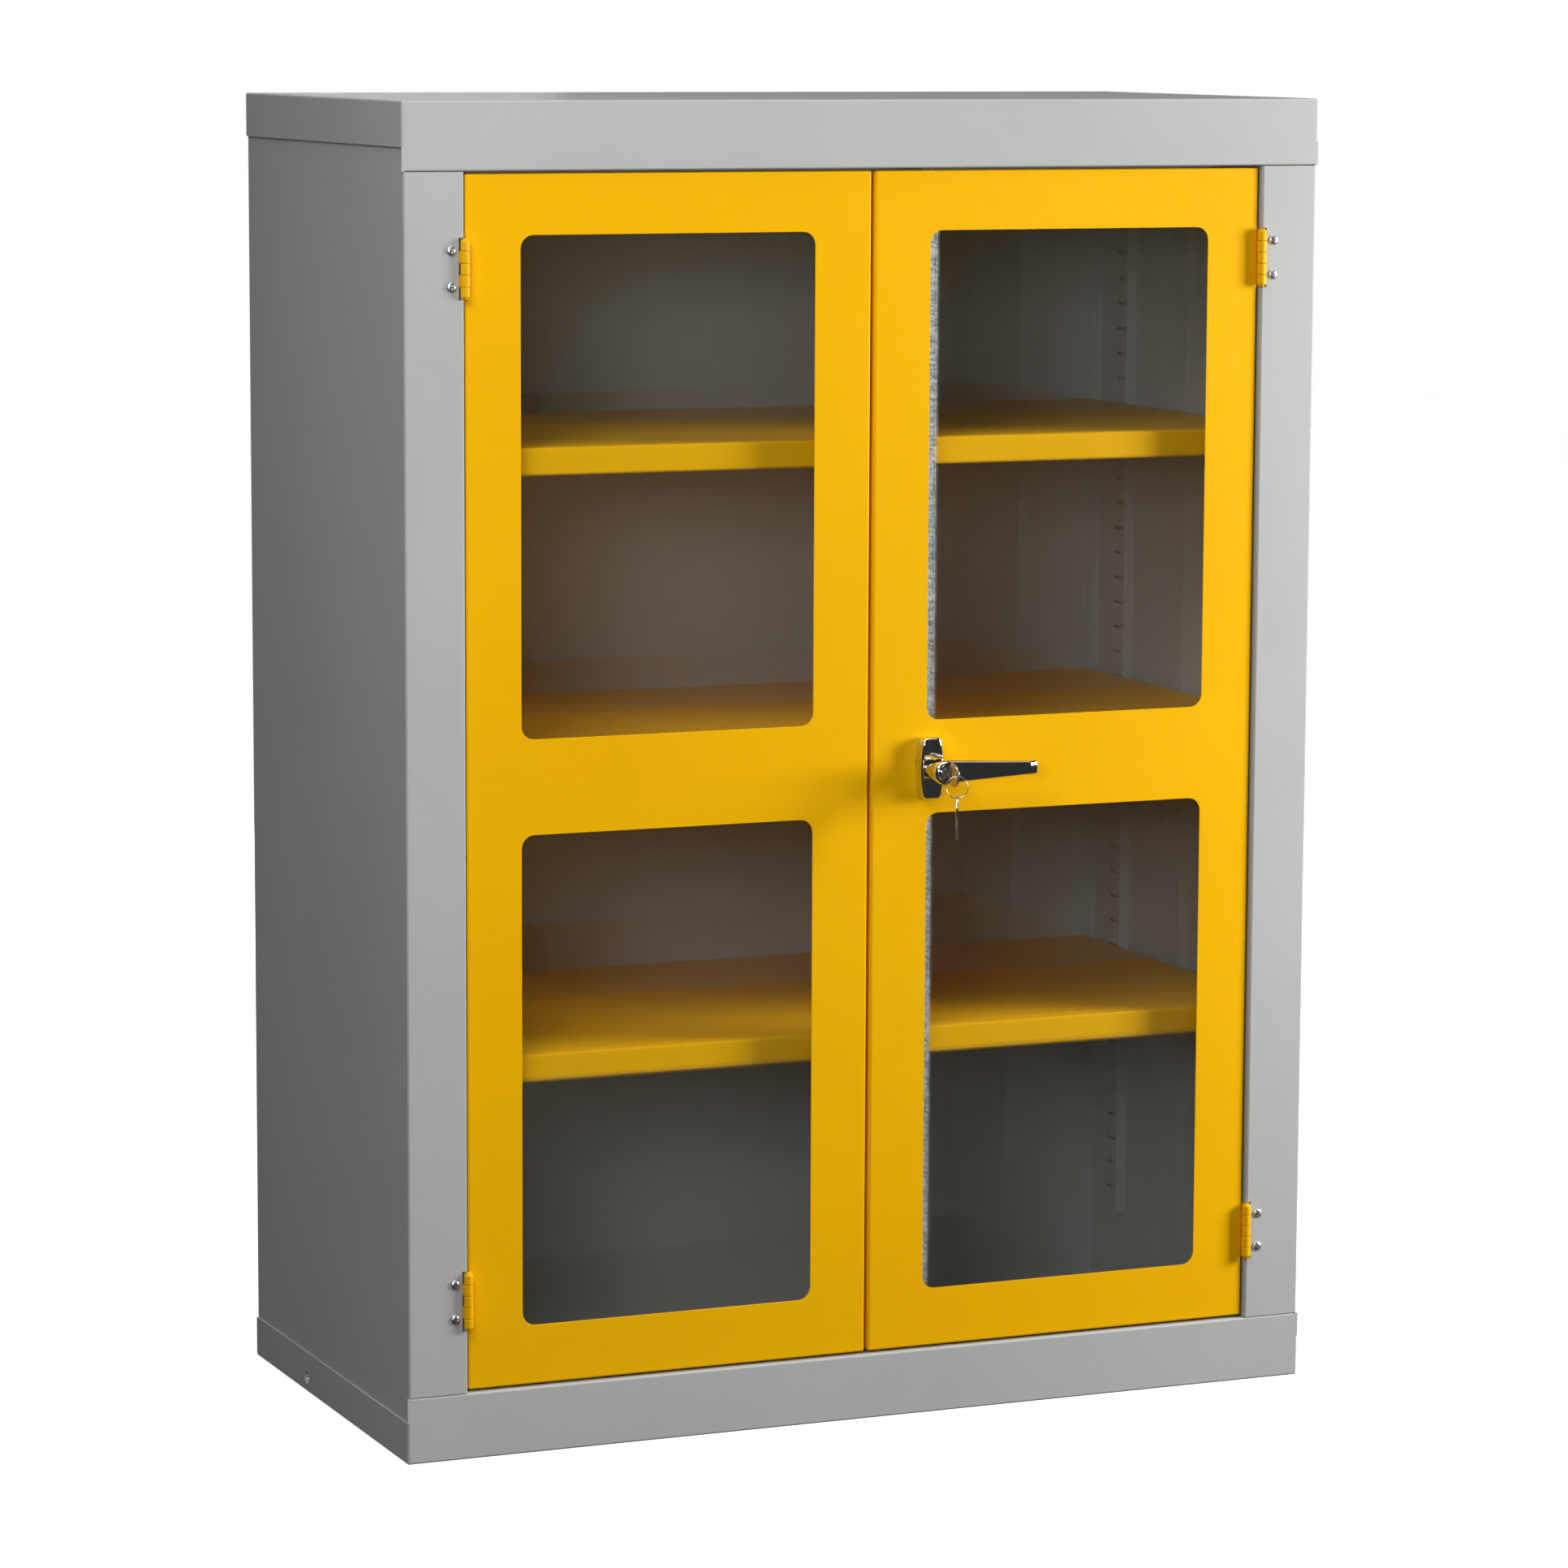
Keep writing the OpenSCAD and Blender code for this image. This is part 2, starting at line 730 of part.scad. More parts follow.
at_hinge(hinge_z_high) hinge_door_leaf();  // hinge_door_leaf_right_upper
lock_housing();
lock_backing_plate();
lock_fixing_screws();
rod_guides();
lever_handle();
handle_spindle();
lock_cam();
cam_screw();
lock_plug();
key();
key_ring();
spare_key();
upper_lock_rod();
lower_lock_rod();
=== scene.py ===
"""Looks of the flammable storage cabinet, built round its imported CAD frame. Metres."""
import math

import bmesh
import bpy
from mathutils import Matrix, Vector


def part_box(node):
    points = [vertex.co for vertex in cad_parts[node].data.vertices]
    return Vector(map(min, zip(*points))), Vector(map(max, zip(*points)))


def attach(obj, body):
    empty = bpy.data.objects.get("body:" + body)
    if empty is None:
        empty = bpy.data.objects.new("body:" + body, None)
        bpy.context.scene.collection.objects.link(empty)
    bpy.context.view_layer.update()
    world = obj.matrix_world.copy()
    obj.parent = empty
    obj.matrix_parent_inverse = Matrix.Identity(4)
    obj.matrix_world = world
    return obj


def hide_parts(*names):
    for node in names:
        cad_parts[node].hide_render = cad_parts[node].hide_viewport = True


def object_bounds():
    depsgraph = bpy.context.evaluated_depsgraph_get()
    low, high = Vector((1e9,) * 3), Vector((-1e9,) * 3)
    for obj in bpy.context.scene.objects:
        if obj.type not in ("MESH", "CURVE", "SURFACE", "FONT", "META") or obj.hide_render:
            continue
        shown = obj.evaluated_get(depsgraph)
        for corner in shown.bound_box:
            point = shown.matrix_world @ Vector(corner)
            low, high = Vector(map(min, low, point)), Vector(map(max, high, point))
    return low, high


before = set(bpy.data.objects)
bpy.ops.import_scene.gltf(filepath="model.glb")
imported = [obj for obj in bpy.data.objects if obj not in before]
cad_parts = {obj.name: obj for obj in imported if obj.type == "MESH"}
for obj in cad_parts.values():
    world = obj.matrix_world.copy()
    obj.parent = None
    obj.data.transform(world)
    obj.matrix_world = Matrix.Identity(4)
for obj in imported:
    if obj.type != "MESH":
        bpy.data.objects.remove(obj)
cad_low, cad_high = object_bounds()

# ---- sizes: boxes from the frame, and those of the folded sheet ----
SHEET = 0.0012
BEND = 0.0013
CAP_LOW, CAP_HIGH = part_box("top_cap")
BASE_LOW, BASE_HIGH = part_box("base_tray")
SIDE_LOW, SIDE_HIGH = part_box("right_side_panel")
STRIP_LOW, STRIP_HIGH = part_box("shelf_strip_rear_right")
PANE_LAP = 0.012
WINDOW_R = 0.012
STOP_LIP = 0.012
RETURN_D = 0.030
OPEN_X = SIDE_LOW.x
OPEN_LOW = BASE_HIGH.z - STOP_LIP
OPEN_HIGH = CAP_LOW.z + STOP_LIP
BASE_FLANGE = 0.038
CAP_FLANGE = 0.0406
SEAM = 0.0006
BAR_HALF = 0.0075
UPPER_BAR_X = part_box("upper_lock_rod")[1].x - BAR_HALF
LOWER_BAR_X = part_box("lower_lock_rod")[0].x + BAR_HALF
HINGES = ("left_lower", "left_upper", "right_lower", "right_upper")


def middle(node):
    low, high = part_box(node)
    return (low + high) / 2


LOCK = middle("lock_plug")
SPINDLE = Vector((LOCK.x, 0, LOCK.z))

# ---- camera: 23 degrees to the left of the front, 8 degrees above ----
AZIMUTH = math.radians(23.0)
DOWN = math.radians(7.93)
ROLL = math.radians(0.26)
FOCAL_MM = 127.3
SENSOR_MM = 36
CAMERA_PLACE = (-2.042, -4.830, 1.298)


def add_camera():
    ahead = Vector((math.sin(AZIMUTH) * math.cos(DOWN), math.cos(AZIMUTH) * math.cos(DOWN),
                    -math.sin(DOWN)))
    right = Vector((math.cos(AZIMUTH), -math.sin(AZIMUTH), 0))
    up = right.cross(ahead)
    side = right * math.cos(ROLL) + up * math.sin(ROLL)
    top = up * math.cos(ROLL) - right * math.sin(ROLL)
    lens = bpy.data.cameras.new("camera")
    lens.lens = FOCAL_MM
    lens.sensor_width = SENSOR_MM
    camera = bpy.data.objects.new("camera", lens)
    camera.matrix_world = Matrix.Translation(CAMERA_PLACE) @ Matrix(
        (side, top, -ahead)).transposed().to_4x4()
    bpy.context.scene.collection.objects.link(camera)
    bpy.context.scene.camera = camera


# ---- mesh tools ----
SHEET_SLOTS = ("body_grey", "door_yellow", "shelf_yellow", "galvanised", "polycarbonate")


def finish_mesh(name, bm, body, slot, material, nodes=(), bevel=0.0, sharp=35):
    """Makes a piece of the finished mesh, ties it to its body and hides its CAD nodes. slot only
    picks flat-face normals for sheet pieces.
    """
    bmesh.ops.recalc_face_normals(bm, faces=bm.faces)
    mesh = bpy.data.meshes.new(name)
    bm.to_mesh(mesh)
    bm.free()
    piece = bpy.data.objects.new(name, mesh)
    bpy.context.scene.collection.objects.link(piece)
    mesh.materials.append(material)
    if bevel:
        add_bevel(piece, bevel)
    mesh.shade_smooth()
    mesh.set_sharp_from_angle(angle=math.radians(sharp))
    if slot in SHEET_SLOTS:
        piece.modifiers.new("flat_faces", "WEIGHTED_NORMAL").keep_sharp = True
    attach(piece, body)
    if nodes:
        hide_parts(*nodes)
    return piece


def add_bevel(piece, width, segments=2):
    bevel = piece.modifiers.new("edges", "BEVEL")
    bevel.width = width
    bevel.segments = segments
    bevel.limit_method = "ANGLE"
    bevel.angle_limit = math.radians(50)
    bevel.harden_normals = False


def bridge(bm, rings, closed=True):
    """Quads between each ring of vertices and the next."""
    for a, b in zip(rings, rings[1:]):
        count = len(a)
        for i in range(count if closed else count - 1):
            j = (i + 1) % count
            bm.faces.new((a[i], a[j], b[j], b[i]))


def add_rings(bm, rings):
    return [[bm.verts.new(p) for p in ring] for ring in rings]


def rounded(u, v, r, steps=6):
    """Points round a rectangle from u[0], v[0] to u[1], v[1] with corners of radius r."""
    centres = ((u[1] - r, v[1] - r), (u[0] + r, v[1] - r), (u[0] + r, v[0] + r),
               (u[1] - r, v[0] + r))
    points = []
    for quarter, (cu, cv) in enumerate(centres):
        for k in range(steps + 1):
            a = math.pi / 2 * (quarter + k / steps)
            points.append((cu + r * math.cos(a), cv + r * math.sin(a)))
    return points


def folded(path, thickness=SHEET, bend=BEND, steps=5):
    """Both sides of a sheet whose middle line follows path, with rounded bends."""
    points = [Vector(p) for p in path]
    left, right = [], []

    def station(p, n):
        left.append(p + n * thickness / 2)
        right.append(p - n * thickness / 2)

    for i, p in enumerate(points):
        into = (p - points[i - 1]).normalized() if i else (points[1] - p).normalized()
        out = (points[i + 1] - p).normalized() if i + 1 < len(points) else into
        turn = math.atan2(into.x * out.y - into.y * out.x, into.dot(out))
        normal = Vector((-into.y, into.x))
        if abs(turn) < 1e-6:
            station(p, normal)
            continue
        side = math.copysign(1, turn)
        start = p - into * bend * math.tan(abs(turn) / 2)
        centre = start + normal * bend * side
        for k in range(steps + 1):
            n = Matrix.Rotation(turn * k / steps, 2) @ normal
            station(centre - n * bend * side, n)
    return left, right


def prism(bm, outline, place, start, end):
    """A closed outline carried from start to end; place turns (u, v, w) into a point."""
    rings = add_rings(bm, [[place(u, v, w) for u, v in outline] for w in (start, end)])
    bridge(bm, rings)
    for ring in rings:
        bm.faces.new(ring)


def along_x(u, v, w):
    return (w, u, v)


def along_y(u, v, w):
    return (u, w, v)


def along_z(u, v, w):
    return (u, v, w)


def sheet_prism(bm, path, place, start, end, **bends):
    left, right = folded(path, **bends)
    prism(bm, left + right[::-1], place, start, end)


def lathe(bm, profile, centre, axis="y", steps=48):
    """Turns (radius, height) points round an axis through centre. It closes on itself."""
    rings = []
    for k in range(steps):
        a = 2 * math.pi * k / steps
        c, s = math.cos(a), math.sin(a)
        if axis == "y":
            ring = [centre + Vector((r * c, h, r * s)) for r, h in profile]
        else:
            ring = [centre + Vector((r * c, r * s, h)) for r, h in profile]
        rings.append([bm.verts.new(p) for p in ring])
    bridge(bm, rings + rings[:1])


def fill_plane(bm, rings, normal):
    """Fills the flat area inside the first ring and outside the others."""
    edges = [bm.edges.get((ring[i - 1], ring[i])) or bm.edges.new((ring[i - 1], ring[i]))
             for ring in rings for i in range(len(ring))]
    bmesh.ops.triangle_fill(bm, edges=edges, use_beauty=True, use_dissolve=True, normal=normal)


def pan(bm, place, u, v, depth, lip=0.0, corner=0.0022, windows=()):
    """A tray: a flat face, four folded edges and, with lip, folded returns. place turns
    (u, v, distance behind the face) into a point. windows are (u, v, radius) openings."""
    half, border = SHEET / 2, 0.004
    path = [(lip, depth - half)] if lip else []
    path += [(half, depth - half if lip else depth), (half, half), (border, half)]
    left, right = folded(path)
    chain = left[::-1] + right

    def ring(inset, w, r):
        ends = (u[0] + inset, u[1] - inset), (v[0] + inset, v[1] - inset)
        return [place(a, b, w) for a, b in rounded(*ends, r)]

    outer = add_rings(bm, [ring(g, w, max(corner - g, 0.0003)) for g, w in chain])
    bridge(bm, outer)
    faces = {w: [loop] for w, loop in ((chain[0][1], outer[0]), (chain[-1][1], outer[-1]))}
    for win_u, win_v, r in windows:
        edge = [(0.0004, 0), (0.0001, 0.0001), (0, 0.0004), (0, SHEET - 0.0003),
                (0.0003, SHEET)]
        loops = add_rings(bm, [
            [place(a, b, w) for a, b in rounded((win_u[0] - g, win_u[1] + g),
                                                (win_v[0] - g, win_v[1] + g), r + g)]
            for g, w in edge])
        bridge(bm, loops)
        front = min(faces)
        faces[front].append(loops[0])
        faces[max(faces)].append(loops[-1])
    normal = Vector(place(0, 0, 1)) - Vector(place(0, 0, 0))
    for loops in faces.values():
        fill_plane(bm, loops, normal)


def as_object(bm, name):
    mesh = bpy.data.meshes.new(name)
    bmesh.ops.recalc_face_normals(bm, faces=bm.faces)
    bm.to_mesh(mesh)
    bm.free()
    thing = bpy.data.objects.new(name, mesh)
    bpy.context.scene.collection.objects.link(thing)
    return thing


def carved(bm, cutters):
    """The closed mesh bm with the closed meshes in cutters taken out of it."""
    thing, tool = as_object(bm, "carved"), as_object(cutters, "cutters")
    step = thing.modifiers.new("cut", "BOOLEAN")
    step.object = tool
    step.solver = "EXACT"
    step.use_self = True
    bpy.context.view_layer.update()
    done = bpy.data.meshes.new_from_object(
        thing.evaluated_get(bpy.context.evaluated_depsgraph_get()))
    result = bmesh.new()
    result.from_mesh(done)
    for old in (thing, tool):
        mesh = old.data
        bpy.data.objects.remove(old)
        bpy.data.meshes.remove(mesh)
    bpy.data.meshes.remove(done)
    return result


def absorb(bm, other):
    """Adds the mesh other to bm."""
    mesh = bpy.data.meshes.new("part")
    bmesh.ops.recalc_face_normals(other, faces=other.faces)
    other.to_mesh(mesh)
    other.free()
    bm.from_mesh(mesh)
    bpy.data.meshes.remove(mesh)


def block(bm, x, y, z):
    prism(bm, [(x[0], y[0]), (x[1], y[0]), (x[1], y[1]), (x[0], y[1])], along_z, *z)


def round_bar(bm, radius, centre, place, start, end, steps=32):
    """A plain round bar about centre, a (u, v) pair, to cut a hole with."""
    turns = [2 * math.pi * k / steps for k in range(steps)]
    prism(bm, [(centre[0] + radius * math.cos(a), centre[1] + radius * math.sin(a))
               for a in turns], place, start, end)


def bore(bm, radius, centre, y):
    """A round bar along Y."""
    round_bar(bm, radius, (centre.x, centre.z), along_y, *y)


def mirrored(bm):
    bmesh.ops.transform(bm, matrix=Matrix.Scale(-1, 4, (1, 0, 0)), verts=bm.verts)


# ---- materials ----
class Look:
    """A Principled material and the nodes that feed it. Lengths are in metres."""

    def __init__(self, name, **constants):
        self.material = bpy.data.materials.new(name)
        self.material.use_nodes = True
        self.nodes = self.material.node_tree.nodes
        self.links = self.material.node_tree.links
        self.shader = next(n for n in self.nodes if n.type == "BSDF_PRINCIPLED")
        for socket, value in constants.items():
            self.shader.inputs[socket.replace("_", " ")].default_value = value
        self.place = self.nodes.new("ShaderNodeTexCoord").outputs["Object"]

    def stretched(self, x, y, z):
        """The same place, with each axis scaled."""
        mapping = self.nodes.new("ShaderNodeMapping")
        mapping.inputs["Scale"].default_value = (x, y, z)
        self.links.new(self.place, mapping.inputs["Vector"])
        return mapping.outputs["Vector"]

    def noise(self, size, detail=3, rough=0.55, place=None):
        """Cloudy noise whose blobs are about size across."""
        node = self.nodes.new("ShaderNodeTexNoise")
        node.inputs["Scale"].default_value = 1 / size
        node.inputs["Detail"].default_value = detail
        node.inputs["Roughness"].default_value = rough
        self.links.new(place or self.place, node.inputs["Vector"])
        return node.outputs["Fac"]

    def cells(self, size, feature="F1", output="Color"):
        node = self.nodes.new("ShaderNodeTexVoronoi")
        node.feature = feature
        node.inputs["Scale"].default_value = 1 / size
        self.links.new(self.place, node.inputs["Vector"])
        return node.outputs[output]

    def range(self, value, low, high, start=0.0, end=1.0):
        """value from low to high, as start to end, held at its ends."""
        node = self.nodes.new("ShaderNodeMapRange")
        for socket, number in zip(("From Min", "From Max", "To Min", "To Max"),
                                  (low, high, start, end)):
            node.inputs[socket].default_value = number
        self.links.new(value, node.inputs["Value"])
        return node.outputs["Result"]

    def multiply(self, a, b):
        node = self.nodes.new("ShaderNodeMath")
        node.operation = "MULTIPLY"
        self.links.new(a, node.inputs[0])
        self.links.new(b, node.inputs[1])
        return node.outputs[0]

    def blend(self, factor, a, b):
        """Colour a where factor is 0 and b where it is 1; each is a colour or a socket."""
        node = self.nodes.new("ShaderNodeMix")
        node.data_type = "RGBA"
        self.links.new(factor, node.inputs["Factor"])
        for socket, colour in ((node.inputs[6], a), (node.inputs[7], b)):
            if isinstance(colour, tuple):
                socket.default_value = (*colour, 1)
            else:
                self.links.new(colour, socket)
        return node.outputs[2]

    def feed(self, socket, source):
        self.links.new(source, self.shader.inputs[socket])

    def bump(self, *layers):
        """Raises the surface by layers of (height, depth in metres)."""
        normal = None
        for height, depth in layers:
            node = self.nodes.new("ShaderNodeBump")
            node.inputs["Distance"].default_value = depth
            self.links.new(height, node.inputs["Height"])
            if normal:
                self.links.new(normal, node.inputs["Normal"])
            normal = node.outputs["Normal"]
        self.feed("Normal", normal)


def powder_coat(name, colour, shade, speck, rough):
    """Baked powder paint: fine orange peel, faint clouds, dust nibs and rubbed patches."""
    look = Look(name, Specular_IOR_Level=0.13)
    clouds = look.blend(look.range(look.noise(0.35, 4), 0.35, 0.7), colour, shade)
    nibs = look.range(look.noise(0.0016, 1, 0.4), 0.79, 0.82)
    marks = look.range(look.noise(0.02, 5, 0.7, look.stretched(1, 1, 0.25)), 0.68, 0.8)
    worn = look.blend(look.multiply(marks, look.range(look.noise(0.2), 0.5, 0.7, 0, 0.35)),
                      clouds, shade)
    look.feed("Base Color", look.blend(nibs, worn, speck))
    look.feed("Roughness", look.range(look.noise(0.012, 4), 0.3, 0.7, rough - 0.04, rough + 0.06))
    look.bump((look.noise(0.0014, 2), 0.00006), (look.noise(0.12, 2), 0.0006))
    return look.material


def galvanised():
    """Zinc spangles, each its own tone, over a faintly streaked sheet."""
    look = Look("galvanised", Metallic=1.0)
    tone = look.nodes.new("ShaderNodeSeparateColor")
    look.links.new(look.cells(0.0018), tone.inputs[0])
    spangle = look.blend(tone.outputs[0], (0.10, 0.11, 0.115), (0.72, 0.75, 0.76))
    look.feed("Base Color", look.blend(look.range(look.noise(0.05), 0.45, 0.7, 0, 0.4),
                                       spangle, (0.34, 0.36, 0.37)))
    look.feed("Roughness", look.range(tone.outputs[1], 0, 1, 0.34, 0.55))
    look.bump((look.cells(0.0018, "DISTANCE_TO_EDGE", "Distance"), 0.00004),
              (look.noise(0.002), 0.00003))
    return look.material


def plated(name, colour, dull, rough, grain):
    """Plated steel with fine rubbed scratches and fingermarks."""
    look = Look(name, Metallic=1.0, IOR=2.2)
    scratch = look.noise(grain, 4, 0.6, look.stretched(1, 1, 0.06))
    look.feed("Base Color", look.blend(look.range(look.noise(0.015, 4), 0.4, 0.75), colour, dull))
    look.feed("Roughness", look.range(scratch, 0.35, 0.75, rough, rough * 2.2 + 0.05))
    look.bump((scratch, 0.00002))
    return look.material


def chrome():
    """Bright chrome with faint smears and pinhead pits."""
    look = Look("chrome", Metallic=1.0)
    smears = look.range(look.noise(0.012, 4, 0.6), 0.5, 0.75)
    look.feed("Base Color", look.blend(smears, (0.80, 0.81, 0.83), (0.66, 0.66, 0.67)))
    look.feed("Roughness", look.range(look.noise(0.006, 5, 0.7), 0.4, 0.8, 0.05, 0.17))
    look.bump((look.noise(0.02, 2), 0.00012))
    return look.material


def rubber():
    look = Look("rubber", Roughness=0.8, Specular_IOR_Level=0.3)
    look.feed("Base Color", look.blend(look.noise(0.004), (0.018, 0.018, 0.018),
                                       (0.05, 0.05, 0.048)))
    look.bump((look.noise(0.0008), 0.0001))
    return look.material


STRAIGHT_SHARE = 0.75


def polycarbonate():
    """Clear sheet that lamps shine through, with patches of handling scratches."""
    look = Look("polycarbonate", Transmission_Weight=1.0, IOR=1.45, Specular_IOR_Level=0.15)
    hair = look.range(look.noise(0.0012, 3, 0.7, look.stretched(0.9, 1, 0.05)), 0.74, 0.78)
    patch = look.range(look.noise(0.09, 3), 0.56, 0.66)
    scratches = look.multiply(hair, patch)
    look.feed("Base Color", look.blend(scratches, (0.985, 0.99, 0.988), (0.8, 0.82, 0.81)))
    look.feed("Roughness", look.range(scratches, 0, 1, 0.02, 0.3))
    nodes, links = look.nodes, look.links
    clear = nodes.new("ShaderNodeBsdfTransparent")
    clear.inputs["Color"].default_value = (0.94, 0.945, 0.94, 1)
    rays = nodes.new("ShaderNodeLightPath")
    lamp_or_bounce, straight = nodes.new("ShaderNodeMath"), nodes.new("ShaderNodeMath")
    lamp_or_bounce.operation = straight.operation = "MAXIMUM"
    links.new(rays.outputs["Is Shadow Ray"], lamp_or_bounce.inputs[0])
    links.new(rays.outputs["Is Diffuse Ray"], lamp_or_bounce.inputs[1])
    links.new(lamp_or_bounce.outputs[0], straight.inputs[0])
    straight.inputs[1].default_value = STRAIGHT_SHARE
    mix = nodes.new("ShaderNodeMixShader")
    links.new(straight.outputs[0], mix.inputs[0])
    links.new(look.shader.outputs[0], mix.inputs[1])
    links.new(clear.outputs[0], mix.inputs[2])
    output = next(n for n in nodes if n.type == "OUTPUT_MATERIAL")
    links.new(mix.outputs[0], output.inputs["Surface"])
    return look.material


GREY = powder_coat("grey_paint", (0.50, 0.515, 0.51), (0.46, 0.475, 0.47),
                   (0.30, 0.31, 0.31), 0.40)
YELLOW = powder_coat("yellow_paint", (0.94, 0.50, 0.001), (0.90, 0.465, 0.001),
                     (0.50, 0.25, 0.01), 0.36)
SHELF_YELLOW = powder_coat("shelf_paint", (0.90, 0.48, 0.001), (0.84, 0.44, 0.001),
                           (0.42, 0.22, 0.01), 0.34)
GALVANISED = galvanised()
ZINC = plated("zinc_plate", (0.70, 0.72, 0.75), (0.55, 0.56, 0.57), 0.22, 0.001)
KEY_STEEL = plated("key_steel", (0.72, 0.70, 0.66), (0.50, 0.49, 0.46), 0.16, 0.0008)
CHROME = chrome()
RUBBER = rubber()
CLEAR = polycarbonate()


# ---- body ----
EARTH_R = 0.006


def earth_hole(side):
    """Cutter for the hole round the earth insert, mirrored for a left-hand part."""
    earth, hole = middle("earth_insert"), bmesh.new()
    x = -earth.x if side == "left" else earth.x
    round_bar(hole, EARTH_R, (earth.y, earth.z), along_x, x - 0.012, x + 0.012)
    return hole


def end_tray(name, face_z, inward, flange, node, bar_x):
    """Cap or base: a plate with four flanges, a taller front face, its return and a lip
    that the doors close against. inward is -1 for the cap and 1 for the base."""
    low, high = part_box(node)

    def place(a, b, w):
        return (a, b, face_z + inward * w)

    def across(y, w, x):
        return place(x, y, w)

    bm = bmesh.new()
    pan(bm, place, (low.x, high.x), (low.y, high.y), flange)
    if inward > 0:
        bm = carved(bm, earth_hole("right"))
    half = SHEET / 2
    edge = abs((OPEN_HIGH if inward < 0 else OPEN_LOW) - face_z)
    inside = SIDE_HIGH.x - SHEET - 0.0003
    profile = [(low.y + half, flange), (low.y + half, edge - half),
               (low.y + RETURN_D - half, edge - half)]
    front = bmesh.new()
    sheet_prism(front, profile + [(low.y + RETURN_D - half, edge + STOP_LIP)], across,
                -OPEN_X, OPEN_X)
    slots = bmesh.new()
    rod_low, rod_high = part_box("upper_lock_rod")
    cut_z = sorted((face_z + inward * (edge - 0.003), face_z + inward * (edge + 0.001)))
    for x in (bar_x, middle("left_upper_bolt").x):
        block(slots, (x - 0.009, x + 0.009), (rod_low.y - 0.002, rod_high.y + 0.002), cut_z)
    absorb(bm, carved(front, slots))
    for side in (-1, 1):
        sheet_prism(bm, profile, across, side * OPEN_X, side * inside)
        sheet_prism(bm, profile[:1] + [(low.y + half, edge)], across, side * inside,
                    side * high.x)
    return finish_mesh(name, bm, "cabinet", "body_grey", GREY, [node])


def side_panel(side):
    """Wall, front upright, return beside the door and rear return, in one folded sheet."""
    half = SHEET / 2
    wall = SIDE_HIGH.x - half
    front, rear = SIDE_LOW.y + half, SIDE_HIGH.y - half
    back = [(SIDE_HIGH.x - 0.015, rear), (wall, rear)]
    frame_path = [(wall, front), (OPEN_X + half, front),
                  (OPEN_X + half, SIDE_LOW.y + RETURN_D - half),
                  (OPEN_X + STOP_LIP, SIDE_LOW.y + RETURN_D - half)]
    low, high = OPEN_LOW + SEAM, OPEN_HIGH - SEAM
    bm, notches = bmesh.new(), bmesh.new()
    sheet_prism(bm, back + frame_path, along_z, low, high)
    for level in ("lower", "upper"):
        pin_low, pin_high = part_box(f"hinge_pin_{side}_{level}")
        block(notches, (OPEN_X - 0.001, OPEN_X + 0.005),
              (SIDE_LOW.y - 0.001, SIDE_LOW.y + 0.005),
              (pin_low.z - 0.0005, pin_high.z + 0.0005))
    bm = carved(bm, notches)
    plain = back + [(wall, SIDE_LOW.y + SHEET)]
    foot = bmesh.new()
    sheet_prism(foot, plain, along_z, SIDE_LOW.z, low)
    if side == "left":
        foot = carved(foot, earth_hole("left"))
    absorb(bm, foot)
    sheet_prism(bm, plain, along_z, high, SIDE_HIGH.z)
    if side == "left":
        mirrored(bm)
    return finish_mesh(side + "_side_sheet", bm, "cabinet", "body_grey", GREY,
                       [side + "_side_panel"])


def shelf_strip(side, place_name):
    """Channel with a row of round-cornered slots, welded to a side wall."""
    node = f"shelf_strip_{place_name}_{side}"
    low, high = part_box(node)
    half = SHEET / 2
    face = STRIP_LOW.x + half
    wall = STRIP_HIGH.x
    bm = bmesh.new()
    y = (STRIP_LOW.y, STRIP_HIGH.y)
    sheet_prism(bm, [(wall, y[0] + half), (face, y[0] + half), (face, y[1] - half),
                     (wall, y[1] - half)], along_z, low.z, high.z)
    cutters = bmesh.new()
    pitch, margin, slot_l, slot_h = 0.025, 0.003, 0.020, 0.003
    for i in range(1, round((high.z - low.z) / pitch)):
        z = low.z + i * pitch
        outline = rounded((y[0] + margin, y[0] + margin + slot_l),
                          (z - slot_h / 2, z + slot_h / 2), 0.0008, 3)
        prism(cutters, outline, along_x, face - 0.002, face + 0.002)
    bm = carved(bm, cutters)
    scale = (-1 if side == "left" else 1, -1 if place_name == "front" else 1, 1, 1)
    bmesh.ops.transform(bm, matrix=Matrix.Diagonal(scale), verts=bm.verts)
    return finish_mesh(f"strip_{place_name}_{side}", bm, "cabinet", "body_grey", GREY, [node])


def shelf(node):
    low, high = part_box(node)
    bm = bmesh.new()
    pan(bm, lambda a, b, w: (a, b, high.z - w), (low.x, high.x), (low.y, high.y),
        high.z - low.z, lip=0.012, corner=0.003)
    return finish_mesh(node + "_tray", bm, "cabinet", "shelf_yellow", SHELF_YELLOW, [node],
                       bevel=0.0003)


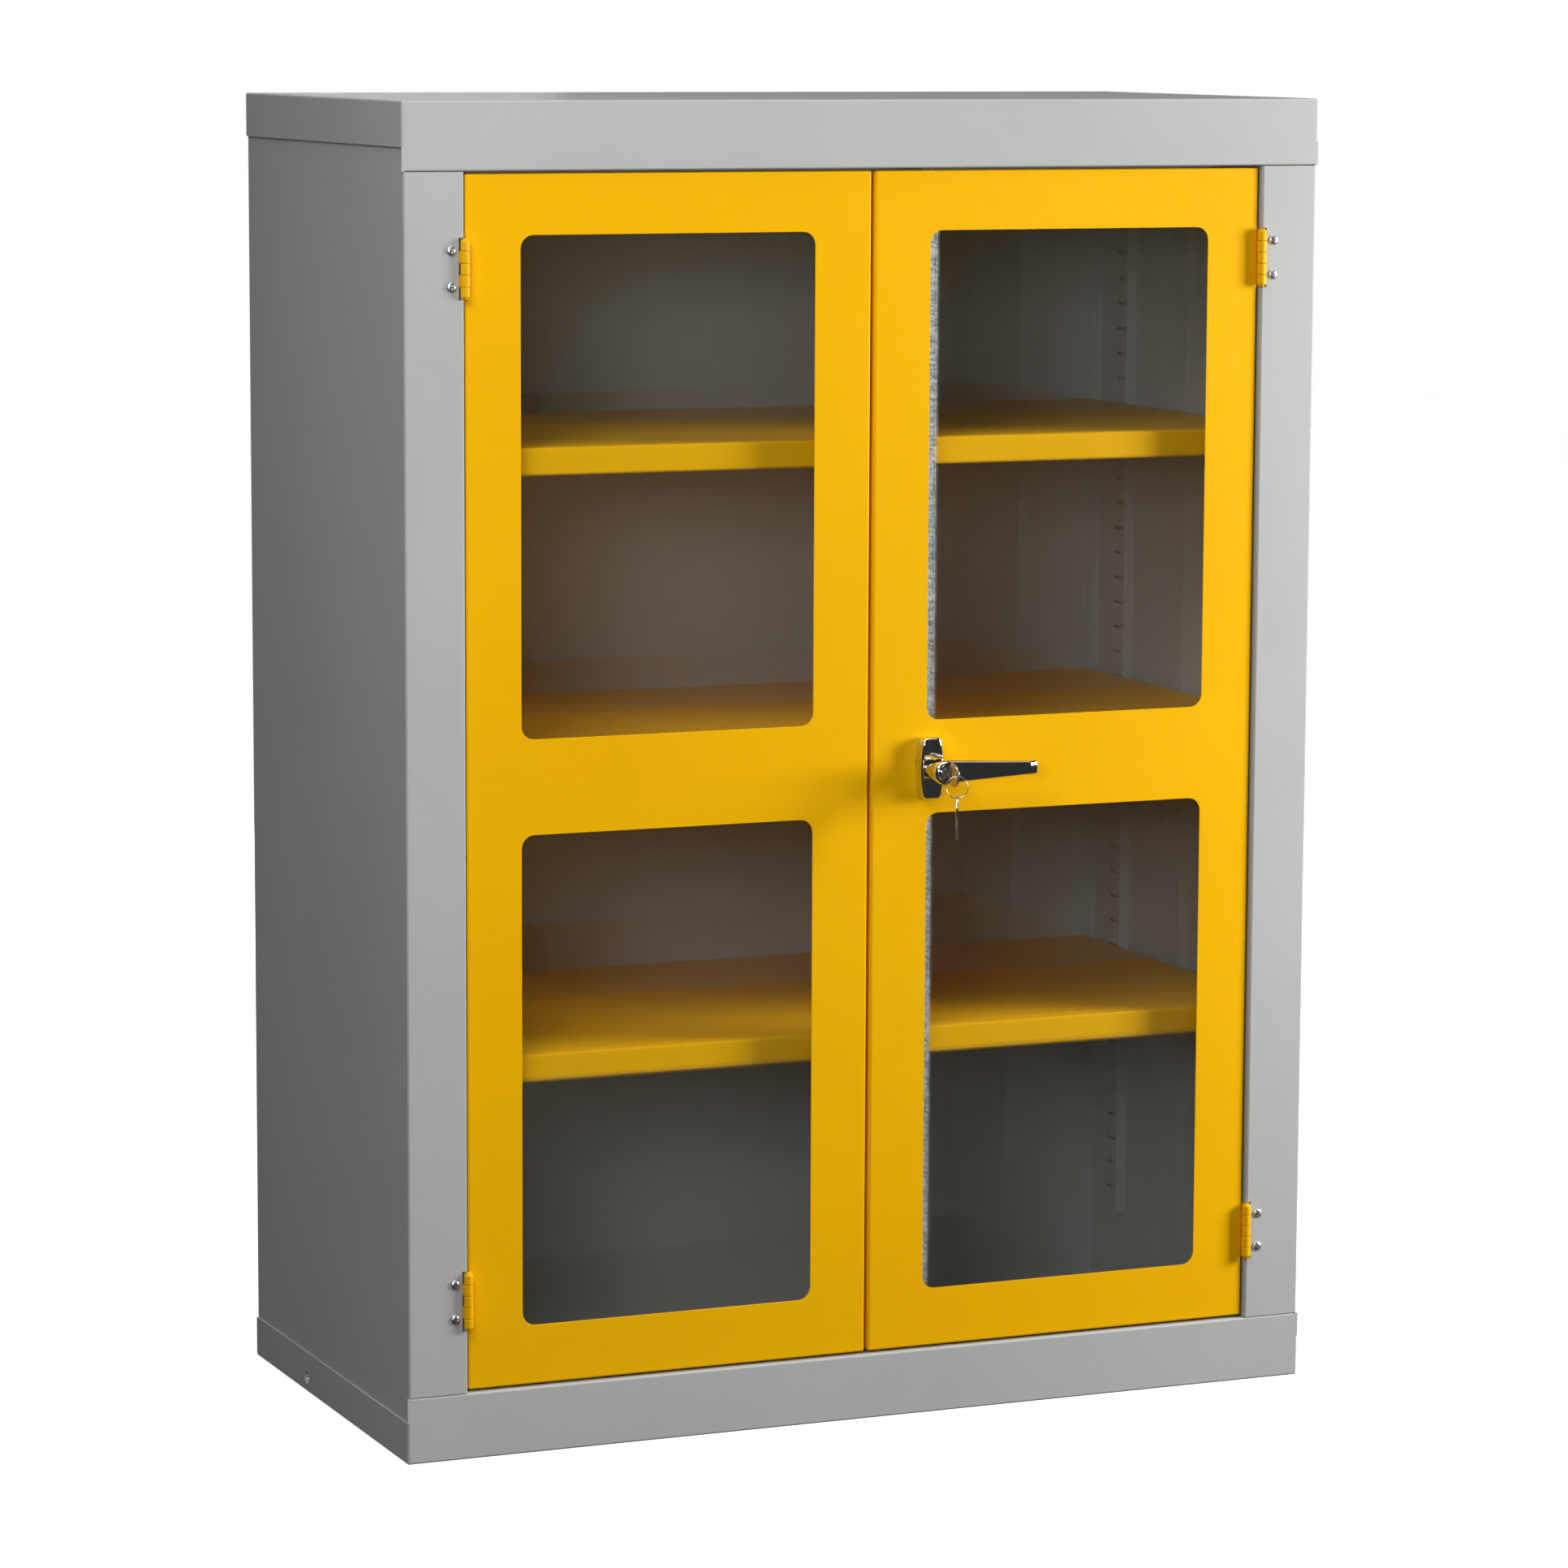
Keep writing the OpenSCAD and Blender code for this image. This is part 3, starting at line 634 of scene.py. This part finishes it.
# ---- doors ----
def door(side):
    """Folded door sheet with two round-cornered windows."""
    node = side + "_door_panel"
    low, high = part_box(node)
    windows = []
    for level in ("lower", "upper"):
        pane_low, pane_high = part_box(f"{side}_door_window_{level}")
        windows.append(((pane_low.x + PANE_LAP, pane_high.x - PANE_LAP),
                        (pane_low.z + PANE_LAP, pane_high.z - PANE_LAP), WINDOW_R))
    bm = bmesh.new()
    pan(bm, lambda a, b, w: (a, low.y + w, b), (low.x, high.x), (low.z, high.z),
        high.y - low.y, lip=0.012, corner=0.002, windows=windows)
    rod_low, rod_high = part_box("upper_lock_rod")
    notches = bmesh.new()
    for z, x in zip((high.z, low.z), notch_places(side)):
        block(notches, (x - 0.0085, x + 0.0085), (rod_low.y - 0.001, rod_high.y + 0.0006),
              (z - 0.002, z + 0.002))
    if side == "right":
        through = (low.y - 0.001, low.y + 0.002)
        bore(notches, SPINDLE_HOLE_R, SPINDLE, through)
        for rise in (-LOCK_SCREW_RISE, LOCK_SCREW_RISE):
            bore(notches, LOCK_SCREW_HOLE_R, SPINDLE + Vector((0, 0, rise)), through)
    return finish_mesh(side + "_door_sheet", carved(bm, notches), side + "_door",
                       "door_yellow", YELLOW, [node], bevel=0.0003)


def notch_places(side):
    """X of the top and the bottom rod or bolt of a door."""
    if side == "left":
        return middle("left_upper_bolt").x, middle("left_lower_bolt").x
    return UPPER_BAR_X, LOWER_BAR_X


def pane(side, level):
    node = f"{side}_door_window_{level}"
    low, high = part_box(node)
    bm = bmesh.new()
    outline = rounded((low.x, high.x), (low.z, high.z), WINDOW_R + PANE_LAP / 2)
    prism(bm, outline, along_y, low.y, high.y)
    return finish_mesh(f"pane_{side}_{level}", bm, side + "_door", "polycarbonate", CLEAR,
                       [node], bevel=0.0003)


def retainers(side):
    """Flat galvanised frames that clamp the panes to the back of the door."""
    node = side + "_window_retainers"
    low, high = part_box(node)
    bm = bmesh.new()
    for level in ("lower", "upper"):
        pane_low, pane_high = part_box(f"{side}_door_window_{level}")
        rings = []
        for grow, y in ((0.0029, high.y), (0.0029, low.y), (-0.0090, low.y), (-0.0090, high.y)):
            u = (pane_low.x - grow, pane_high.x + grow)
            v = (pane_low.z - grow, pane_high.z + grow)
            rings.append([(a, y, b) for a, b in rounded(u, v, 0.018 + grow / 2)])
        rings = add_rings(bm, rings)
        bridge(bm, rings + rings[:1])
    return finish_mesh(side + "_pane_frames", bm, side + "_door", "galvanised", GALVANISED,
                       [node], bevel=0.0002)


# ---- hinges and fixings ----
KNUCKLE_R = 0.0042
DOME_EASE, FLAT_EASE = 0.0026, 0.0007
FRAME_BORE_R, DOOR_BORE_R = 0.00252, 0.00255
PIN_R, PIN_EASE = 0.0025, 0.0008
KNUCKLE_GAP = 0.0003
KNUCKLES = 5


def knuckle(bm, centre, z, bore_r, ends):
    """One barrel section with eased edges. ends says which of its ends is domed."""
    r, length = KNUCKLE_R, z[1] - z[0]
    profile = []
    for flip, domed in ((False, ends[0]), (True, ends[1])):
        ease = DOME_EASE if domed else FLAT_EASE
        first = math.asin(max(0, (bore_r + 0.0001 - (r - ease)) / ease))
        arc = [(r - ease + ease * math.sin(a), ease - ease * math.cos(a))
               for a in (first + (math.pi / 2 - first) * k / 4 for k in range(5))]
        arc.insert(0, (bore_r, arc[0][1]))
        profile += [(p, length - q) for p, q in reversed(arc)] if flip else arc
    lathe(bm, profile, Vector((centre.x, centre.y, z[0])), "z", 32)


def hinge(name):
    """Both rolled leaves and the pin of one hinge, drawn as a right-hand hinge."""
    side = name.split("_")[0]
    pin_low, pin_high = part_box("hinge_pin_" + name)
    leaf_low, leaf_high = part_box("hinge_door_leaf_" + name)
    axis = Vector((abs(pin_low.x + pin_high.x) / 2, (pin_low.y + pin_high.y) / 2, 0))
    start, end = leaf_low.z, leaf_high.z
    pitch = (end - start + KNUCKLE_GAP) / KNUCKLES
    spans = [(start + k * pitch, start + (k + 1) * pitch - KNUCKLE_GAP) for k in range(KNUCKLES)]
    plate = [SIDE_LOW.y + 0.0012, SIDE_LOW.y + 0.0027]
    for part, which, bore_r in (("frame", (1, 3), FRAME_BORE_R),
                                ("door", (0, 2, 4), DOOR_BORE_R)):
        bm = bmesh.new()
        for k in which:
            knuckle(bm, axis, spans[k], bore_r, (k == 0, k == KNUCKLES - 1))
            if part == "frame":
                block(bm, (axis.x + 0.001, axis.x + 0.005), plate, spans[k])
            else:
                block(bm, (axis.x - 0.002, axis.x - 0.0005), (axis.y + 0.003, axis.y + 0.0055),
                      spans[k])
        if part == "frame":
            block(bm, (axis.x + 0.0049, axis.x + 0.024), plate, (start, end))
        else:
            block(bm, (axis.x - 0.002, axis.x - 0.0005), (axis.y + 0.0046, leaf_high.y),
                  (start, end))
        if side == "left":
            mirrored(bm)
        body = "cabinet" if part == "frame" else side + "_door"
        finish_mesh(f"hinge_{part}_{name}", bm, body, "door_yellow", YELLOW,
                    [f"hinge_{part}_leaf_{name}"])
    bm = bmesh.new()
    ease = [(PIN_R - PIN_EASE + PIN_EASE * math.sin(a), PIN_EASE - PIN_EASE * math.cos(a))
            for a in (math.pi / 2 * k / 3 for k in range(4))]
    length = pin_high.z - pin_low.z
    profile = [(0.0001, 0)] + ease + [(p, length - q) for p, q in reversed(ease)]
    lathe(bm, profile + [(0.0001, length)], Vector((axis.x, axis.y, pin_low.z)), "z", 24)
    if side == "left":
        mirrored(bm)
    finish_mesh("pin_" + name, bm, "cabinet", "door_yellow", YELLOW, ["hinge_pin_" + name])


def hinge_screws():
    """Domed screws with a crossed recess, two beside each hinge."""
    low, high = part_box("hinge_screws")
    bm, crosses = bmesh.new(), bmesh.new()
    head_r, head_h = 0.0045, SIDE_LOW.y - low.y
    shank_r = 0.0024
    for name in HINGES:
        pin = middle("hinge_pin_" + name)
        x = math.copysign(high.x - head_r, pin.x)
        for z in (pin.z - 0.016, pin.z + 0.016):
            centre = Vector((x, SIDE_LOW.y, z))
            dome = [(head_r * math.cos(a), -head_h * math.sin(a) ** 0.8)
                    for a in (math.pi / 2 * k / 9 for k in range(10))]
            dome[-1] = (0.00005, -head_h)
            shank = [(0.00005, 0.009), (shank_r, 0.009), (shank_r, 0)]
            lathe(bm, shank + dome, centre, steps=32)
            for u, v in ((0.0023, 0.0006), (0.0006, 0.0023)):
                block(crosses, (x - u, x + u), (low.y - 0.001, low.y + 0.0016), (z - v, z + v))
    return finish_mesh("frame_screws", carved(bm, crosses), "cabinet", "zinc", ZINC,
                       ["hinge_screws"])


# ---- lock and handle ----
PLUG_FIT_R = 0.00605
SPINDLE_FIT_R = 0.0051
SPINDLE_HOLE_R = 0.006
LOCK_SCREW_HOLE_R = 0.0023
LOCK_SCREW_RISE = 0.020


def housing_ring(inset, y):
    """Outline of the lock housing: straight ends and bulging sides."""
    low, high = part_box("lock_housing")
    centre = (low + high) / 2
    half_w, half_h, narrowing = (high.x - low.x) / 2, (high.z - low.z) / 2, 0.0034
    corner, count = 0.0025, 12
    side = []
    for k in range(count + 1):
        z = (half_h - inset - corner * 0.7) * (1 - 2 * k / count)
        side.append((half_w - inset - narrowing * (z / half_h) ** 2, z))
    end = half_w - inset - narrowing - corner * 0.75
    top = [(end * (2 * k / 4 - 1), half_h - inset) for k in range(5)]
    points = side + [(-u, -v) for u, v in top] + [(-u, -v) for u, v in side] + top
    return [(centre.x + u, y, centre.z + v) for u, v in points]


def lock_housing():
    """Raised housing whose front face is dished and edges are rounded."""
    low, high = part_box("lock_housing")
    bm = bmesh.new()
    steps = [(0, high.y), (0, low.y + 0.0030), (0.0004, low.y + 0.0014),
             (0.0012, low.y + 0.0004), (0.0024, low.y), (0.0036, low.y + 0.0003)]
    rings = add_rings(bm, [housing_ring(inset, y) for inset, y in steps])
    bridge(bm, rings)
    bm.faces.new(rings[0])
    bm.faces.new(rings[-1])
    holes = bmesh.new()
    bore(holes, SPINDLE_FIT_R, SPINDLE, (low.y - 0.001, high.y + 0.001))
    for rise in (-LOCK_SCREW_RISE, LOCK_SCREW_RISE):
        bore(holes, LOCK_SCREW_HOLE_R, SPINDLE + Vector((0, 0, rise)),
             (high.y - 0.009, high.y + 0.001))
    return finish_mesh("lock_body", carved(bm, holes), "right_door", "chrome", CHROME,
                       ["lock_housing"], sharp=50)


def lever_section(x, half_z, y_front, y_back, count=28):
    """A flattened oval across the lever, its front flatter than its back."""
    mid, half_y = (y_front + y_back) / 2, (y_back - y_front) / 2
    ring = []
    for k in range(count):
        a = 2 * math.pi * k / count
        c, s = math.cos(a), math.sin(a)
        round_y = math.copysign(abs(c) ** (0.62 if c < 0 else 0.9), c)
        ring.append((x, mid + half_y * round_y,
                     SPINDLE.z + half_z * math.copysign(abs(s) ** 0.72, s)))
    return ring


def lever():
    """Neck, round hub and tapered lever, cast in one piece and plated."""
    low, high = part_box("lever_handle")
    hub_r = SPINDLE.x - low.x
    bm = bmesh.new()
    depth = 0.020
    hub = [(0.0001, depth), (hub_r - 0.0030, depth), (hub_r - 0.0008, depth - 0.0010),
           (hub_r, depth - 0.0035), (hub_r, 0.0040), (hub_r - 0.0004, 0.0022),
           (hub_r - 0.0014, 0.0008), (hub_r - 0.0028, 0), (hub_r - 0.0044, 0.0003),
           (0.0064, 0.0012), (PLUG_FIT_R, 0.0014), (PLUG_FIT_R, 0.0151), (0.0001, 0.0151)]
    lathe(bm, hub, Vector((SPINDLE.x, low.y, SPINDLE.z)))
    reach = high.y - low.y
    neck = [(SPINDLE_FIT_R, 0.0), (0.0085, 0.0), (0.0085, 0.0025), (0.0078, 0.0050),
            (0.0076, 0.0085), (0.0079, reach - 0.0195), (0.0050, reach - 0.0190),
            (0.0001, reach - 0.0190), (0.0001, reach - 0.0220), (SPINDLE_FIT_R, reach - 0.0220)]
    neck_start = Vector((SPINDLE.x, high.y, SPINDLE.z))
    lathe(bm, [(r, -h) for r, h in neck], neck_start)
    root, tip = SPINDLE.x, high.x
    front, back = low.y + 0.0045, low.y + 0.0175
    rings = []
    end_z, end_front, end_back, corner = 0.0062, front + 0.0022, back - 0.0030, 0.0026
    for k in range(15):
        t = k / 14
        half_z = hub_r * 0.985 + (end_z - hub_r * 0.985) * t ** 0.92
        rings.append(lever_section(root + (tip - 0.0100 - root) * t, half_z,
                                   front + (end_front - front) * t, back + (end_back - back) * t))
    for before, step in ((0.0094, 0), (0.0088, 0.00005), (0.0084, 0.00015), (0.0078, 0.0003),
                         (corner, 0.0020)):
        rings.append(lever_section(tip - before, end_z, end_front + step, end_back))
    for a in (math.radians(d) for d in (18, 36, 54, 72, 88)):
        inset = corner * (1 - math.cos(a))
        rings.append(lever_section(tip - corner * (1 - math.sin(a)), end_z - inset,
                                   end_front + 0.0020 + inset, end_back - inset))
    arm, pocket = bmesh.new(), bmesh.new()
    rings = add_rings(arm, rings)
    bridge(arm, rings)
    arm.faces.new(rings[0])
    arm.faces.new(rings[-1])
    bore(pocket, 0.0066, SPINDLE, (low.y - 0.001, low.y + 0.0153))
    absorb(bm, carved(arm, pocket))
    return finish_mesh("lever", bm, "handle", "chrome", CHROME, ["lever_handle"], sharp=40)


# ---- keys ----
RING_TURN = math.radians(-23)
RING_ALONG = Vector((math.cos(RING_TURN), math.sin(RING_TURN), 0))
RING_NORMAL = Vector((-math.sin(RING_TURN), math.cos(RING_TURN), 0))


def tube(bm, path, r, steps=10):
    """A round wire along a list of points, closed at both ends."""
    rings = []
    for i, p in enumerate(path):
        ahead = (path[min(i + 1, len(path) - 1)] - path[max(i - 1, 0)]).normalized()
        side = ahead.cross(Vector((0, 0, 1)))
        side = side.normalized() if side.length > 0.2 else ahead.cross(RING_NORMAL).normalized()
        across = ahead.cross(RING_NORMAL).normalized()
        rings.append([p + (RING_NORMAL * math.cos(a) + across * math.sin(a)) * r
                      for a in (2 * math.pi * k / steps for k in range(steps))])
    rings = add_rings(bm, rings)
    bridge(bm, rings)
    bm.faces.new(rings[0])
    bm.faces.new(rings[-1])


def key_ring():
    """Split ring: two close turns of wire."""
    low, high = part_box("key_ring")
    centre = (low + high) / 2
    wire = 0.00044
    radius = (high.z - low.z) / 2 - 0.0009
    turns, count = 1.96, 96
    path = []
    for k in range(count + 1):
        a = 2 * math.pi * turns * k / count + math.radians(200)
        along = RING_NORMAL * (0.00046 * (2 * k / count - 1))
        path.append(centre + along + (RING_ALONG * math.cos(a) + Vector((0, 0, 1)) * math.sin(a))
                    * radius)
    bm = bmesh.new()
    tube(bm, path, wire)
    return finish_mesh("split_ring", bm, "ring", "key_steel", KEY_STEEL, ["key_ring"], sharp=60)


# ---- CAD nodes kept as they are, with eased edges ----
KEPT = (
    (ZINC, 0.00025, ("lower_shelf_clips", "middle_shelf_clips", "upper_shelf_clips",
                     "hinge_nuts", "earth_insert", "lock_backing_plate",
                     "lock_fixing_screws", "handle_spindle", "lock_cam", "cam_screw")),
    (GALVANISED, 0.00025, ("left_bolt_guides", "left_upper_bolt", "left_lower_bolt",
                           "rod_guides", "upper_lock_rod", "lower_lock_rod")),
    (GREY, 0.0003, ("back_panel",)),
    (RUBBER, 0.0005, ("door_bumpers",)),
    (CHROME, 0.0002, ("lock_plug",)),
    (KEY_STEEL, 0.00025, ("key", "spare_key")),
)


def dress(node, material, width):
    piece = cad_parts[node]
    piece.data.materials.clear()
    piece.data.materials.append(material)
    weld = piece.modifiers.new("weld", "WELD")
    weld.merge_threshold = 0.00001
    add_bevel(piece, width)


# ---- studio ----
FLOOR_R = 14
FLOOR_GLOW = 0.55
DIM, OVERHEAD = 0.03, 2.3


def studio():
    """Pale floor, dim surround that the camera sees as white, and soft lamps."""
    world = bpy.data.worlds.new("studio")
    bpy.context.scene.world = world
    world.use_nodes = True
    nodes, links = world.node_tree.nodes, world.node_tree.links
    surround = nodes["Background"]
    coords = nodes.new("ShaderNodeTexCoord")
    height = nodes.new("ShaderNodeSeparateXYZ")
    links.new(coords.outputs["Generated"], height.inputs[0])
    overhead = nodes.new("ShaderNodeMapRange")
    for socket, number in (("From Min", 0.80), ("From Max", 0.97), ("To Min", DIM),
                           ("To Max", OVERHEAD)):
        overhead.inputs[socket].default_value = number
    links.new(height.outputs["Z"], overhead.inputs["Value"])
    rays = nodes.new("ShaderNodeLightPath")
    links.new(overhead.outputs["Result"], surround.inputs["Strength"])
    surround.inputs["Color"].default_value = (1.0, 0.985, 0.96, 1)
    seen = nodes.new("ShaderNodeBackground")
    seen.inputs["Color"].default_value = (1.0, 1.0, 1.0, 1)
    mix = nodes.new("ShaderNodeMixShader")
    links.new(rays.outputs["Is Camera Ray"], mix.inputs[0])
    links.new(surround.outputs[0], mix.inputs[1])
    links.new(seen.outputs[0], mix.inputs[2])
    links.new(mix.outputs[0], nodes["World Output"].inputs["Surface"])

    bm = bmesh.new()
    bmesh.ops.create_circle(bm, cap_ends=True, segments=96, radius=FLOOR_R)
    mesh = bpy.data.meshes.new("floor")
    bm.to_mesh(mesh)
    bm.free()
    floor = bpy.data.objects.new("floor", mesh)
    bpy.context.scene.collection.objects.link(floor)
    pale = Look("pale_floor", Roughness=0.9, Emission_Color=(1, 1, 1, 1),
                Emission_Strength=FLOOR_GLOW)
    pale.feed("Base Color", pale.blend(pale.noise(0.5), (0.90, 0.90, 0.90), (0.93, 0.93, 0.93)))
    mesh.materials.append(pale.material)
    floor.visible_diffuse = floor.visible_glossy = False

    centre = Vector((0, 0, cad_high.z / 2))
    lamps = (
        ("key", (2.3, -1.25, 1.15), (0.8, 1.1), 84, (1.0, 0.99, 0.97)),
        ("left", (-1.2, -1.3, 2.0), (0.6, 0.6), 15, (1.0, 1.0, 1.0)),
        ("front", (-1.9, -3.2, 1.4), (0.8, 0.8), 27, (1.0, 1.0, 1.0)),
        ("rear", (0.6, 3.6, 0.95), (1.0, 1.0), 45, (1.0, 1.0, 1.0)),
    )
    for name, place, size, power, colour in lamps:
        data = bpy.data.lights.new(name, "AREA")
        data.shape = "RECTANGLE"
        data.size, data.size_y = size
        data.energy = power
        data.color = colour
        lamp = bpy.data.objects.new(name, data)
        lamp.location = place
        lamp.rotation_mode = "QUATERNION"
        lamp.rotation_quaternion = (centre - Vector(place)).to_track_quat("-Z", "Y")
        bpy.context.scene.collection.objects.link(lamp)
    bpy.context.scene.view_settings.view_transform = "Standard"


add_camera()
studio()
end_tray("cap", CAP_HIGH.z, -1, CAP_FLANGE, "top_cap", UPPER_BAR_X)
end_tray("base", BASE_LOW.z, 1, BASE_FLANGE, "base_tray", LOWER_BAR_X)
for hand in ("left", "right"):
    side_panel(hand)
    for row in ("front", "rear"):
        shelf_strip(hand, row)
    door(hand)
    retainers(hand)
    for level in ("lower", "upper"):
        pane(hand, level)
for node in ("lower_shelf", "middle_shelf", "upper_shelf"):
    shelf(node)
for name in HINGES:
    hinge(name)
hinge_screws()
lock_housing()
lever()
key_ring()
for material, width, nodes in KEPT:
    for node in nodes:
        dress(node, material, width)
